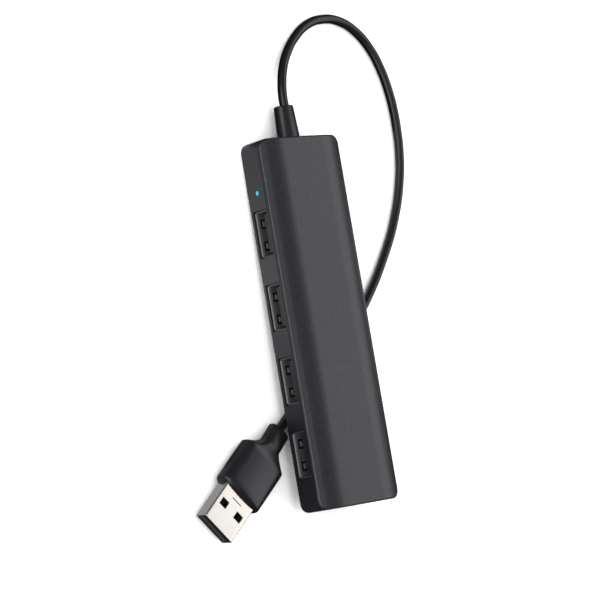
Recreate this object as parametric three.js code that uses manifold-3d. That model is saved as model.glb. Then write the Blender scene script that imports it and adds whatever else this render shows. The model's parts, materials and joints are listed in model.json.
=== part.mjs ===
// A slim four-port USB hub lying on its own captive lead, in millimetres with +Z up.
// The case's length runs along X with the lead leaving at -X, and the ports face -Y.
import * as THREE from "three";
import { mergeVertices } from "three/addons/utils/BufferGeometryUtils.js";
import Module from "manifold-3d";

const wasm = await Module();
wasm.setup();

// Case
const LENGTH = 107;
const WIDTH = 30;
const CROWN = 2;
const SHOULDER = 8;
const CORNER_RADIUS = 2.8;
const EDGE_CHAMFER = 0.4;
const WALL = 1.4;
const FLOOR = 0.9;
const RIM_BAND = 0.5;
const COVER_SKIN = 1.3;
const LIP_HEIGHT = 1.2;
const LIP_WALL = 0.8;
const LIP_CORNER = 0.6;
const SEAM_GAP = 0.15;
const FIT_GAP = 0.15;

// Ports: the standard type A receptacle
const PORT_COUNT = 4;
const LEAD_END_ROOM = 26.7;
const FAR_END_ROOM = 16.55;
const UNDER_PORT = 0.22;
const OVER_PORT = 1.56;
const PORT_INNER = [12.5, 5.12];
const PORT_WALL = 0.3;
const PORT_DEPTH = 13.5;
const PORT_SETBACK = 0.15;
const PORT_CORNERS = [0.6, 0.4];
const TONGUE_WIDTH = 11.1;
const TONGUE_THICKNESS = 1.84;
const TONGUE_SETBACK = 1.2;
const BLOCK_DEPTH = 1.4;
const CONTACT_X = [-3.5, -1, 1, 3.5];
const CONTACT_WIDTH = 1;
const CONTACT_THICKNESS = 0.25;
const CONTACT_TRAVEL = 0.4;
const CONTACT_ARM_Z = 0.45;
const CONTACT_BUMP_Y = 2.9;
const CONTACT_BUMP_Z = -0.325;
const CONTACT_TAIL = 1.5;
const CONTACT_TAIL_Z = -2.3;
const TAIL_HOLE = 1;
const GROOVE_WIDTH = 1.4;
const GROOVE_START = 0.5;
const GROOVE_CLEARANCE = 0.12;
const FINGER_START = 2.2;
const FINGER_X = 3.2;
const FINGER_WIDTH = 1.7;
const FINGER_LENGTH = 5.2;
const FINGER_SLOT = 0.4;
const FINGER_BEND = 0.35;

// Circuit board and what stands on it
const BOARD_THICKNESS = 1;
const UNDER_BOARD = 2.1;
const BOARD_MARGIN = 0.5;
const BOARD_GAP = 0.4;
const SOLDER_GAP = 0.1;
const POST_RADIUS = 1.4;
const POST_INSET = [6, 3.5];
const POST_FROM_PORT = 2.6;
const CHIP = [6, 6, 1];
const CHIP_X = 5;
const CRYSTAL = [10.5, 4, 3.2];
const CRYSTAL_X = -12;
const CAPACITOR_X = [26, 35];
const CAPACITOR_RADIUS = 2;
const CAPACITOR_HEIGHT = 4.2;
const LED_ROOM = 15;
const LED_BEHIND = 2.6;
const LIGHT_PIPE_RADIUS = 0.85;
const LIGHT_PIPE_RISE = 0.42;
const LIGHT_PIPE_RECESS = 0.05;
const LED = [1.6, 1.2, 1];

// Strain relief, lead and its four inner wires
const RELIEF_LENGTH = 9.2;
const RELIEF_EDGE = 0.3;
const RELIEF_BASE_RADIUS = 2.8;
const RELIEF_TIP_RADIUS = 2.4;
const RELIEF_NECK_RADIUS = 2;
const RELIEF_COLLAR_RADIUS = 2.7;
const RELIEF_COLLAR = 1;
const UNDER_COLLAR = 1.2;
const RELIEF_OVAL = 1.2;
const CORD_DIAMETER = 2.7;
const CORD_GAP = 0.3;
const WIRE_DIAMETER = 0.9;
const WIRE_SPACING = 1.3;

// Where the case's back bottom edge rests on the lead, measured from mid-length
const CROSSING_X = 3.5;

// The lead's centreline on the table, from the strain relief round to the plug
const CORD_ROUTE = [
  [-62.9, 0, 4.27],
  [-66.2, 0, 4.1],
  [-70, 0.8, 3.6],
  [-74.6, 2.6, 2.8],
  [-79.3, 5.6, 2],
  [-84, 10, 1.5],
  [-87.5, 15.2, 1.35],
  [-89, 21.5, 1.35],
  [-88.3, 27.6, 1.35],
  [-85.2, 33.4, 1.35],
  [-79.4, 38.6, 1.35],
  [-73.1, 41.7, 1.35],
  [-67, 43.5, 1.35],
  [-60.8, 44.5, 1.35],
  [-54.7, 44.8, 1.35],
  [-48.6, 44.6, 1.35],
  [-39.6, 43, 1.35],
  [-27.8, 38.7, 1.35],
  [-16.2, 32, 1.35],
  [-5.2, 23.8, 1.35],
  [3.5, 15.4, 1.35],
  [11.8, 6, 1.35],
  [19.2, -3.6, 1.45],
  [24.5, -10.7, 1.95],
  [27.5, -14.8, 2.55],
  [29.17, -17.02, 2.97],
];
const CORD_STEPS = 34;
const CORD_SIDES = 8;

// Plug at the lead's far end: the standard type A plug, lying flat
const PLUG_X = 45.9;
const PLUG_FROM_CASE = 21.4;
const PLUG_YAW = -49.2;
const PLUG_EXPOSED = 11.75;
const PLUG_OUTER = [12, 4.5];
const PLUG_WALL = 0.3;
const PLUG_INSIDE = 6;
const PLUG_WINDOW = [2, 2.5];
const PLUG_WINDOW_X = 4.1;
const PLUG_WINDOW_Y = 3.1;
const PLUG_CORNERS = [0.45, 0.2];
const INSERT_THICKNESS = 1.75;
const INSERT_SETBACK = 0.35;
const PLUG_PAD_LENGTHS = [14, 13, 13, 14];
const PAD_THICKNESS = 0.3;
const PAD_SETBACK = 1;
const GRIP = [15.6, 7.6];
const GRIP_LENGTH = 15.2;
const GRIP_ROUND = 1.9;
const GRIP_SHOULDER = 4.8;
const GRIP_NECK = [6.4, 5.6];
const GRIP_TOTAL = 25.3;
const GRIP_NECK_DROP = 0.8;

// Finishes
const black = { color: 0x35353a, roughness: 0.55, metalness: 0 };
const blackPlastic = () => new THREE.MeshStandardMaterial(black);
const insulator = () => new THREE.MeshStandardMaterial({ color: 0x1a1a1c, roughness: 0.5 });
const rubber = () => new THREE.MeshStandardMaterial({ color: 0x26262a, roughness: 0.6 });
const vinyl = () => new THREE.MeshStandardMaterial({ color: 0x141416, roughness: 0.35 });
const darkSteel = () =>
  new THREE.MeshStandardMaterial({ color: 0x4a4a4c, roughness: 0.4, metalness: 1 });
const nickel = () =>
  new THREE.MeshStandardMaterial({ color: 0xe9e4dd, roughness: 0.25, metalness: 1 });
const gold = () =>
  new THREE.MeshStandardMaterial({ color: 0xd6a84a, roughness: 0.3, metalness: 1 });
const solderMask = () => new THREE.MeshStandardMaterial({ color: 0x1f5a34, roughness: 0.45 });
const lens = () =>
  new THREE.MeshStandardMaterial({ color: 0x1dc8fe, roughness: 0.25, emissive: 0x1dc8fe });

// A closed three.js geometry as a solid that can be cut and joined.
function solid(geometry) {
  const bare = geometry.index ? geometry.toNonIndexed() : geometry.clone();
  bare.deleteAttribute("normal");
  bare.deleteAttribute("uv");
  const merged = mergeVertices(bare, 1e-4);
  return new wasm.Manifold(
    new wasm.Mesh({
      numProp: 3,
      vertProperties: merged.attributes.position.array,
      triVerts: new Uint32Array(merged.index.array),
    }),
  );
}

function geometryOf(body) {
  const mesh = body.getMesh();
  const geometry = new THREE.BufferGeometry();
  geometry.setAttribute("position", new THREE.BufferAttribute(mesh.vertProperties, 3));
  geometry.setIndex(new THREE.BufferAttribute(mesh.triVerts, 1));
  const flat = geometry.toNonIndexed();
  flat.computeVertexNormals();
  return flat;
}

// A box between two corners.
function block(low, high) {
  const size = high.map((value, axis) => value - low[axis]);
  const middle = high.map((value, axis) => (value + low[axis]) / 2);
  return new THREE.BoxGeometry(...size).translate(...middle);
}

const blockSolid = (low, high) => solid(block(low, high));

// A rectangle with rounded corners, centred on the origin.
function roundedRectangle(length, width, radius) {
  const x = length / 2 - radius;
  const y = width / 2 - radius;
  const shape = new THREE.Shape();
  shape.absarc(x, y, radius, 0, Math.PI / 2);
  shape.absarc(-x, y, radius, Math.PI / 2, Math.PI);
  shape.absarc(-x, -y, radius, Math.PI, 1.5 * Math.PI);
  shape.absarc(x, -y, radius, 1.5 * Math.PI, 2 * Math.PI);
  return shape;
}

function extrudeUp(shape, low, high, segments = 5) {
  const settings = { depth: high - low, bevelEnabled: false, curveSegments: segments };
  return new THREE.ExtrudeGeometry(shape, settings).translate(0, 0, low);
}

// A shape drawn in Y and Z, drawn out along X.
function extrudeAlongX(shape, low, high, segments = 5) {
  const axes = new THREE.Matrix4().makeBasis(
    new THREE.Vector3(0, 1, 0),
    new THREE.Vector3(0, 0, 1),
    new THREE.Vector3(1, 0, 0),
  );
  return extrudeUp(shape, low, high, segments).applyMatrix4(axes);
}

// A shape drawn in X and Z, drawn out along Y.
function extrudeAlongY(shape, low, high, segments = 5) {
  return extrudeUp(shape, -high, -low, segments).rotateX(Math.PI / 2);
}

// A strip of even thickness along a line of points, as a closed outline.
function stripOutline(points, thickness) {
  const line = points.map(([x, y]) => new THREE.Vector2(x, y));
  const side = (sign) =>
    line.map((point, index) => {
      const before = line[Math.max(index - 1, 0)];
      const after = line[Math.min(index + 1, line.length - 1)];
      const into = point.clone().sub(before).normalize();
      const out = after.clone().sub(point).normalize();
      const run = into.clone().add(out).normalize();
      const normal = new THREE.Vector2(-run.y, run.x);
      const reference = index === 0 ? out : into;
      const spread = Math.abs(normal.dot(new THREE.Vector2(-reference.y, reference.x)));
      return point.clone().addScaledVector(normal, (sign * thickness) / 2 / spread);
    });
  return new THREE.Shape([...side(-1), ...side(1).reverse()]);
}

function place(group, name, geometry, material) {
  const mesh = new THREE.Mesh(geometry, material);
  mesh.name = name;
  group.add(mesh);
  return mesh;
}

const portNumbers = Array.from({ length: PORT_COUNT }, (_, index) => index + 1);
const portPitch = (LENGTH - LEAD_END_ROOM - FAR_END_ROOM) / (PORT_COUNT - 1);
const portX = (number) => -LENGTH / 2 + LEAD_END_ROOM + (number - 1) * portPitch;
const shellOuter = PORT_INNER.map((size) => size + 2 * PORT_WALL);
const portHeight = FLOOR + UNDER_PORT + shellOuter[1] / 2;
const portFrontY = -WIDTH / 2 + PORT_SETBACK;
const sideHeight = portHeight + shellOuter[1] / 2 + OVER_PORT;
const caseHeight = sideHeight + CROWN;
const caseTop = sideHeight - RIM_BAND;
const coverBase = caseTop + SEAM_GAP;
const boardBase = FLOOR + UNDER_BOARD;
const boardTop = boardBase + BOARD_THICKNESS;
const boardBack = WIDTH / 2 - WALL - LIP_WALL - FIT_GAP - BOARD_MARGIN;
const tailY = PORT_DEPTH + CONTACT_TAIL;
const grooveDepth = CONTACT_ARM_Z + CONTACT_THICKNESS / 2 + CONTACT_TRAVEL + GROOVE_CLEARANCE;
// The middle of the strip of board behind the contacts' tails, where the board's parts stand
const partsY = (portFrontY + tailY + TAIL_HOLE / 2 + boardBack) / 2;
const ledX = -LENGTH / 2 + LED_ROOM;
const ledY = -WIDTH / 2 + WALL + LIP_WALL + LED_BEHIND;
const lightPipeZ = boardTop + LIGHT_PIPE_RISE;
const reliefZ = FLOOR + UNDER_COLLAR + RELIEF_COLLAR_RADIUS;
const lightPipeBack = ledY - LED[1] / 2 - FIT_GAP;

// The case's section across its width: a flat top that falls in an arc to each long edge.
function crownShape(inset, low) {
  const half = WIDTH / 2 - inset;
  const drop = caseHeight - sideHeight;
  const arcRadius = (SHOULDER * SHOULDER + drop * drop) / (2 * drop);
  const flat = WIDTH / 2 - SHOULDER;
  const radius = arcRadius - inset;
  const turn = Math.asin(Math.min((half - flat) / radius, 1));
  const shape = new THREE.Shape();
  shape.moveTo(-half, low);
  shape.lineTo(half, low);
  shape.absarc(flat, caseHeight - arcRadius, radius, Math.PI / 2 - turn, Math.PI / 2);
  shape.absarc(-flat, caseHeight - arcRadius, radius, Math.PI / 2, Math.PI / 2 + turn);
  return shape;
}

function topCover() {
  const outside = solid(extrudeAlongX(crownShape(0, coverBase), -LENGTH / 2, LENGTH / 2));
  const plan = roundedRectangle(LENGTH, WIDTH, CORNER_RADIUS);
  const shell = outside.intersect(solid(extrudeUp(plan, 0, 2 * caseHeight)));
  const lipOut = WALL + FIT_GAP;
  const insideLength = LENGTH - 2 * (lipOut + LIP_WALL);
  const hollow = solid(
    extrudeAlongX(crownShape(COVER_SKIN, 0), -insideLength / 2, insideLength / 2),
  ).intersect(
    solid(
      extrudeUp(
        roundedRectangle(insideLength, WIDTH - 2 * (lipOut + LIP_WALL), LIP_CORNER),
        0,
        caseHeight,
      ),
    ),
  );
  const lipPlan = roundedRectangle(LENGTH - 2 * lipOut, WIDTH - 2 * lipOut, CORNER_RADIUS - WALL);
  const lipTop = coverBase + SEAM_GAP;
  const lip = solid(extrudeUp(lipPlan, coverBase - LIP_HEIGHT, lipTop));
  let cover = shell.add(lip).subtract(hollow);
  // The lip is left out over each port and over the strain relief's collar.
  for (const number of portNumbers) {
    const half = shellOuter[0] / 2 + 2 * FIT_GAP;
    const x = portX(number);
    cover = cover.subtract(
      blockSolid([x - half, -WIDTH / 2 + WALL, 0], [x + half, 0, coverBase]),
    );
  }
  const collarHalf = RELIEF_COLLAR_RADIUS * RELIEF_OVAL + 2 * FIT_GAP;
  return cover.subtract(
    blockSolid([-LENGTH / 2, -collarHalf, 0], [-LENGTH / 2 + 4 * WALL, collarHalf, coverBase]),
  );
}

function bottomCase() {
  const plan = roundedRectangle(LENGTH, WIDTH, CORNER_RADIUS);
  const outside = solid(
    new THREE.ExtrudeGeometry(plan, {
      depth: 2 * caseHeight,
      bevelThickness: EDGE_CHAMFER,
      bevelSize: EDGE_CHAMFER,
      bevelOffset: -EDGE_CHAMFER,
      bevelSegments: 1,
      curveSegments: 5,
    }).translate(0, 0, EDGE_CHAMFER),
  ).intersect(blockSolid([-LENGTH, -WIDTH, 0], [LENGTH, WIDTH, caseTop]));
  const insidePlan = roundedRectangle(
    LENGTH - 2 * WALL,
    WIDTH - 2 * WALL,
    CORNER_RADIUS - WALL,
  );
  let body = outside.subtract(solid(extrudeUp(insidePlan, FLOOR, 2 * caseHeight)));
  const clearance = FIT_GAP + PORT_WALL / 2;
  for (const number of portNumbers) {
    const half = PORT_INNER[0] / 2 + PORT_WALL / 2 + clearance;
    const tall = PORT_INNER[1] / 2 + PORT_WALL / 2 + clearance;
    body = body.subtract(
      blockSolid(
        [portX(number) - half, -WIDTH, portHeight - tall],
        [portX(number) + half, -WIDTH / 2 + 2 * WALL, portHeight + tall],
      ),
    );
  }
  const ledHole = new THREE.CylinderGeometry(
    LIGHT_PIPE_RADIUS + FIT_GAP,
    LIGHT_PIPE_RADIUS + FIT_GAP,
    4 * WALL,
    16,
  ).translate(ledX, -WIDTH / 2, lightPipeZ);
  const neck = RELIEF_NECK_RADIUS + FIT_GAP;
  const cordHole = new THREE.CylinderGeometry(neck, neck, 4 * WALL, 24)
    .rotateZ(Math.PI / 2)
    .scale(1, RELIEF_OVAL, 1)
    .translate(-LENGTH / 2, 0, reliefZ);
  body = body.subtract(solid(ledHole)).subtract(solid(cordHole));
  for (const [x, y] of boardPosts()) {
    const post = new THREE.CylinderGeometry(POST_RADIUS, POST_RADIUS, boardBase - FLOOR, 12)
      .rotateX(Math.PI / 2)
      .translate(x, y, (boardBase + FLOOR) / 2 - FIT_GAP);
    body = body.add(solid(post));
  }
  return body;
}

// Four posts near the board's corners. Those at the far end keep clear of the last port.
function boardPosts() {
  const leadEnd = -LENGTH / 2 + WALL + POST_INSET[0];
  const farEnd = portX(PORT_COUNT) + shellOuter[0] / 2 + POST_FROM_PORT;
  const y = WIDTH / 2 - WALL - POST_INSET[1];
  return [
    [leadEnd, y],
    [farEnd, y],
    [leadEnd, -y],
    [farEnd, -y],
  ];
}

// The board is notched round each port and drilled for the contacts' tails.
function circuitBoard() {
  const half = LENGTH / 2 - WALL - LIP_WALL - FIT_GAP - BOARD_MARGIN;
  const collarRoom = -LENGTH / 2 + WALL + RELIEF_COLLAR + 2 * BOARD_GAP;
  let board = blockSolid([-half, -boardBack, boardBase], [half, boardBack, boardTop]);
  for (const number of portNumbers) {
    const x = portX(number);
    const notch = shellOuter[0] / 2 + BOARD_GAP;
    const notchBack = portFrontY + PORT_DEPTH + BOARD_GAP;
    board = board.subtract(
      blockSolid([x - notch, -WIDTH, 0], [x + notch, notchBack, caseHeight]),
    );
    for (const offset of CONTACT_X) {
      const wide = GROOVE_WIDTH / 2;
      const front = portFrontY + tailY - TAIL_HOLE / 2;
      board = board.subtract(
        blockSolid(
          [x + offset - wide, front, 0],
          [x + offset + wide, front + TAIL_HOLE, caseHeight],
        ),
      );
    }
  }
  const pipeHalf = LIGHT_PIPE_RADIUS + BOARD_GAP;
  const collarHalf = RELIEF_COLLAR_RADIUS * RELIEF_OVAL + BOARD_GAP;
  return board
    .subtract(
      blockSolid([ledX - pipeHalf, -WIDTH, 0], [ledX + pipeHalf, lightPipeBack, caseHeight]),
    )
    .subtract(blockSolid([-LENGTH, -collarHalf, 0], [collarRoom, collarHalf, caseHeight]));
}

// A port's own axes: X as the case's, Y into the case from the shell's mouth, Z from its middle.
function portShell() {
  const [width, height] = PORT_INNER;
  const outer = extrudeAlongY(
    roundedRectangle(shellOuter[0], shellOuter[1], PORT_CORNERS[0]),
    0,
    PORT_DEPTH,
    3,
  );
  const inner = extrudeAlongY(
    roundedRectangle(width, height, PORT_CORNERS[1]),
    -1,
    PORT_DEPTH + 1,
    3,
  );
  let shell = solid(outer).subtract(solid(inner));
  for (const side of [-1, 1]) {
    for (const x of [-FINGER_X, FINGER_X]) {
      const wide = FINGER_WIDTH / 2 + FINGER_SLOT;
      const wallMiddle = (side * (height + PORT_WALL)) / 2;
      shell = shell.subtract(
        blockSolid(
          [x - wide, FINGER_START, wallMiddle - PORT_WALL],
          [x + wide, FINGER_START + FINGER_LENGTH + FINGER_SLOT, wallMiddle + PORT_WALL],
        ),
      );
      const strip = stripOutline(
        [
          [FINGER_START + FINGER_LENGTH + 2 * FINGER_SLOT, wallMiddle],
          [FINGER_START + FINGER_LENGTH - 0.6, wallMiddle],
          [FINGER_START + FINGER_SLOT + 0.8, wallMiddle - side * FINGER_BEND],
          [FINGER_START + FINGER_SLOT, wallMiddle - side * FINGER_BEND * 0.4],
        ],
        PORT_WALL * 0.9,
      );
      shell = shell.add(
        solid(extrudeAlongX(strip, x - FINGER_WIDTH / 2, x + FINGER_WIDTH / 2)),
      );
    }
  }
  return shell;
}

function portTongue() {
  const blockFront = PORT_DEPTH - BLOCK_DEPTH - FIT_GAP;
  const rear = PORT_DEPTH - FIT_GAP;
  const halfWidth = PORT_INNER[0] / 2 - FIT_GAP;
  const halfHeight = PORT_INNER[1] / 2 - FIT_GAP;
  const rearBlock = blockSolid(
    [-halfWidth, blockFront, -halfHeight],
    [halfWidth, rear, halfHeight],
  );
  const blade = blockSolid(
    [-TONGUE_WIDTH / 2, TONGUE_SETBACK, 0],
    [TONGUE_WIDTH / 2, blockFront + 1, TONGUE_THICKNESS],
  );
  let tongue = rearBlock.add(blade);
  for (const x of CONTACT_X) {
    const half = GROOVE_WIDTH / 2;
    tongue = tongue.subtract(
      blockSolid(
        [x - half, TONGUE_SETBACK + GROOVE_START, -FIT_GAP],
        [x + half, PORT_DEPTH + 1, grooveDepth],
      ),
    );
  }
  return tongue;
}

function portContact() {
  const path = [
    [tailY, CONTACT_TAIL_Z],
    [tailY, CONTACT_ARM_Z],
    [CONTACT_BUMP_Y + 1.6, CONTACT_ARM_Z],
    [CONTACT_BUMP_Y + 0.2, CONTACT_BUMP_Z],
    [CONTACT_BUMP_Y - 0.3, CONTACT_BUMP_Z],
    [CONTACT_BUMP_Y - 0.9, CONTACT_BUMP_Z + 0.4],
  ];
  const outline = stripOutline(path, CONTACT_THICKNESS);
  return extrudeAlongX(outline, -CONTACT_WIDTH / 2, CONTACT_WIDTH / 2);
}

function addPort(hub, number) {
  const port = new THREE.Group();
  port.position.set(portX(number), portFrontY, portHeight);
  hub.add(port);
  place(port, `port_${number}_shell`, geometryOf(portShell()), darkSteel());
  place(port, `port_${number}_tongue`, geometryOf(portTongue()), insulator());
  CONTACT_X.forEach((x, index) => {
    const name = `port_${number}_contact_${index + 1}`;
    place(port, name, portContact(), gold()).position.x = x;
  });
}

// What stands on the board, each piece on its solder.
function addBoardParts(hub) {
  const seat = boardTop + SOLDER_GAP;
  const standing = (size, x, y) =>
    block(
      [x - size[0] / 2, y - size[1] / 2, seat],
      [x + size[0] / 2, y + size[1] / 2, seat + size[2]],
    );
  place(hub, "controller_chip", standing(CHIP, CHIP_X, partsY), insulator());
  place(hub, "crystal", standing(CRYSTAL, CRYSTAL_X, partsY), nickel());
  CAPACITOR_X.forEach((x, index) => {
    const can = new THREE.CylinderGeometry(
      CAPACITOR_RADIUS,
      CAPACITOR_RADIUS,
      CAPACITOR_HEIGHT,
      16,
    ).rotateX(Math.PI / 2);
    can.translate(x, partsY, seat + CAPACITOR_HEIGHT / 2);
    place(hub, `capacitor_${index + 1}`, can, nickel());
  });
  place(hub, "led", standing(LED, ledX, ledY), lens());
  const pipeFront = -WIDTH / 2 + LIGHT_PIPE_RECESS;
  const pipe = new THREE.CylinderGeometry(
    LIGHT_PIPE_RADIUS,
    LIGHT_PIPE_RADIUS,
    lightPipeBack - pipeFront,
    16,
  ).translate(ledX, (lightPipeBack + pipeFront) / 2, lightPipeZ);
  place(hub, "light_pipe", pipe, lens());
}

// A round taper with a neck through the case wall and a collar inside it, flattened to an oval.
function strainRelief() {
  const collarIn = WALL + FIT_GAP + RELIEF_COLLAR;
  const profile = [
    [0, -collarIn],
    [RELIEF_COLLAR_RADIUS, -collarIn],
    [RELIEF_COLLAR_RADIUS, -WALL - FIT_GAP],
    [RELIEF_NECK_RADIUS, -WALL - FIT_GAP],
    [RELIEF_NECK_RADIUS, FIT_GAP],
    [RELIEF_BASE_RADIUS, FIT_GAP],
    [RELIEF_TIP_RADIUS, RELIEF_LENGTH - RELIEF_EDGE],
    [RELIEF_TIP_RADIUS - RELIEF_EDGE, RELIEF_LENGTH],
    [0, RELIEF_LENGTH],
  ].map(([radius, along]) => new THREE.Vector2(radius, along));
  return new THREE.LatheGeometry(profile, 20)
    .rotateZ(Math.PI / 2)
    .scale(1, RELIEF_OVAL, 1)
    .translate(-LENGTH / 2, 0, reliefZ);
}

// A round tube of few sides along a curve.
function tube(points, diameter, steps, sides) {
  const curve = new THREE.CatmullRomCurve3(points.map((point) => new THREE.Vector3(...point)));
  const section = new THREE.Shape(
    Array.from({ length: sides }, (_, index) => {
      const angle = ((index + 0.5) * 2 * Math.PI) / sides;
      const radius = diameter / 2;
      return new THREE.Vector2(radius * Math.cos(angle), radius * Math.sin(angle));
    }),
  );
  const settings = { extrudePath: curve, steps, bevelEnabled: false };
  return new THREE.ExtrudeGeometry(section, settings);
}

// Each wire leaves the collar, and bends up to lie just over its own pad on the board.
function addInnerWires(hub) {
  const start = -LENGTH / 2 + WALL + 2 * FIT_GAP + RELIEF_COLLAR;
  const padZ = boardTop + SOLDER_GAP + WIRE_DIAMETER / 2;
  const shades = { red: 0xb3201c, white: 0xe6e6e2, green: 0x1f7a3a, black: 0x1b1b1d };
  Object.entries(shades).forEach(([shade, color], index) => {
    const y = (index - 1.5) * WIRE_SPACING;
    const route = [
      [start, y, reliefZ],
      [start + 2, y, reliefZ + 0.3],
      [start + 5, 1.4 * y, padZ + 0.3],
      [start + 8, 1.7 * y, padZ],
      [start + 9.5, 1.7 * y, padZ],
    ];
    const material = new THREE.MeshStandardMaterial({ color, roughness: 0.5 });
    place(hub, `wire_${shade}`, tube(route, WIRE_DIAMETER, 8, 6), material);
  });
}

// The moulded grip: its plan, drawn up through its height with round edges, then thinned to
// the neck by its side view, and bored for the shell.
function plugGrip() {
  const half = GRIP[0] / 2;
  const neckHalf = GRIP_NECK[0] / 2;
  const neckStart = -GRIP_LENGTH - GRIP_SHOULDER;
  const middle = -GRIP_LENGTH - GRIP_SHOULDER / 2;
  const plan = new THREE.Shape();
  plan.moveTo(0, -half);
  plan.lineTo(0, half);
  plan.lineTo(-GRIP_LENGTH, half);
  plan.bezierCurveTo(middle, half, middle, neckHalf, neckStart, neckHalf);
  plan.lineTo(-GRIP_TOTAL, neckHalf);
  plan.lineTo(-GRIP_TOTAL, -neckHalf);
  plan.lineTo(neckStart, -neckHalf);
  plan.bezierCurveTo(middle, -neckHalf, middle, -half, -GRIP_LENGTH, -half);
  const rounded = new THREE.ExtrudeGeometry(plan, {
    depth: GRIP[1] - 2 * GRIP_ROUND,
    bevelThickness: GRIP_ROUND,
    bevelSize: GRIP_ROUND,
    bevelOffset: -GRIP_ROUND,
    bevelSegments: 3,
    curveSegments: 6,
  }).translate(0, 0, GRIP_ROUND - GRIP[1] / 2);
  const tall = GRIP[1] / 2;
  const thin = GRIP_NECK[1] / 2;
  const side = new THREE.Shape();
  side.moveTo(1, -tall);
  side.lineTo(1, tall);
  side.lineTo(-GRIP_LENGTH, tall);
  side.bezierCurveTo(middle, tall, middle, thin, neckStart, thin);
  side.lineTo(-GRIP_TOTAL - 1, thin - GRIP_NECK_DROP);
  side.lineTo(-GRIP_TOTAL - 1, -thin - GRIP_NECK_DROP);
  side.lineTo(neckStart, -tall);
  const pocketX = PLUG_OUTER[0] / 2 + FIT_GAP;
  const pocketZ = PLUG_OUTER[1] / 2 + FIT_GAP;
  return solid(rounded)
    .intersect(solid(extrudeAlongY(side, -half, half, 6)))
    .subtract(blockSolid([-PLUG_INSIDE - 2 * FIT_GAP, -pocketX, -pocketZ], [1, pocketX, pocketZ]));
}

function plugShell() {
  const [width, height] = PLUG_OUTER;
  const outer = extrudeAlongX(
    roundedRectangle(width, height, PLUG_CORNERS[0]),
    -PLUG_INSIDE,
    PLUG_EXPOSED,
    3,
  );
  const innerSize = [width - 2 * PLUG_WALL, height - 2 * PLUG_WALL];
  const inner = extrudeAlongX(
    roundedRectangle(...innerSize, PLUG_CORNERS[1]),
    -PLUG_INSIDE - 1,
    PLUG_EXPOSED + 1,
    3,
  );
  let shell = solid(outer).subtract(solid(inner));
  for (const y of [-PLUG_WINDOW_Y, PLUG_WINDOW_Y]) {
    shell = shell.subtract(
      blockSolid(
        [PLUG_WINDOW_X, y - PLUG_WINDOW[1] / 2, -height],
        [PLUG_WINDOW_X + PLUG_WINDOW[0], y + PLUG_WINDOW[1] / 2, height],
      ),
    );
  }
  return shell;
}

function plugInsert() {
  const base = -PLUG_OUTER[1] / 2 + PLUG_WALL + FIT_GAP;
  const half = PLUG_OUTER[0] / 2 - PLUG_WALL - FIT_GAP;
  const top = base + INSERT_THICKNESS;
  const front = PLUG_EXPOSED - INSERT_SETBACK;
  let insert = blockSolid([-PLUG_INSIDE + FIT_GAP, -half, base], [front, half, top]);
  CONTACT_X.forEach((x, index) => {
    const wide = CONTACT_WIDTH / 2 + FIT_GAP;
    const start = front - PAD_SETBACK - FIT_GAP;
    insert = insert.subtract(
      blockSolid(
        [start - PLUG_PAD_LENGTHS[index] - 2 * FIT_GAP, x - wide, top - PAD_THICKNESS - FIT_GAP],
        [start + FIT_GAP, x + wide, top + 1],
      ),
    );
  });
  return insert;
}

function addPlug(root) {
  const plug = new THREE.Group();
  plug.position.set(PLUG_X, -WIDTH / 2 - PLUG_FROM_CASE, GRIP[1] / 2);
  plug.rotation.z = THREE.MathUtils.degToRad(PLUG_YAW);
  root.add(plug);
  place(plug, "plug_grip", geometryOf(plugGrip()), rubber());
  place(plug, "plug_shell", geometryOf(plugShell()), nickel());
  place(plug, "plug_insert", geometryOf(plugInsert()), insulator());
  const padTop = -PLUG_OUTER[1] / 2 + PLUG_WALL + FIT_GAP + INSERT_THICKNESS;
  const padFront = PLUG_EXPOSED - INSERT_SETBACK - PAD_SETBACK - FIT_GAP;
  CONTACT_X.forEach((y, index) => {
    const pad = block(
      [padFront - PLUG_PAD_LENGTHS[index], y - CONTACT_WIDTH / 2, padTop - PAD_THICKNESS],
      [padFront, y + CONTACT_WIDTH / 2, padTop],
    );
    place(plug, `plug_contact_${index + 1}`, pad, gold());
  });
}

// The case lies pitched: its lead-end edge on the table, its back edge on the lead.
function addHub(root) {
  const hub = new THREE.Group();
  place(hub, "bottom_case", geometryOf(bottomCase()), blackPlastic());
  place(hub, "top_cover", geometryOf(topCover()), blackPlastic());
  place(hub, "circuit_board", geometryOf(circuitBoard()), solderMask());
  portNumbers.forEach((number) => addPort(hub, number));
  addBoardParts(hub);
  addInnerWires(hub);
  const pitch = Math.atan((CORD_DIAMETER + CORD_GAP) / (LENGTH / 2 + CROSSING_X));
  hub.rotation.y = -pitch;
  root.add(hub);
  const box = new THREE.Box3().setFromObject(hub, true);
  const middle = box.getCenter(new THREE.Vector3());
  hub.position.set(-middle.x, -middle.y, -box.min.z);
  place(hub, "strain_relief", strainRelief(), rubber());
}

const root = new THREE.Group();
addHub(root);
place(root, "cord", tube(CORD_ROUTE, CORD_DIAMETER, CORD_STEPS, CORD_SIDES), vinyl());
addPlug(root);

export default root;
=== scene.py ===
"""Looks of a slim four-port USB hub lying on its own lead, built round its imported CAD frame."""
import json
import math

import bmesh
import bpy
from bpy.props import FloatProperty, IntProperty, PointerProperty, StringProperty
from bpy.types import Operator, Panel, PropertyGroup
from mathutils import Matrix, Quaternion, Vector


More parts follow.
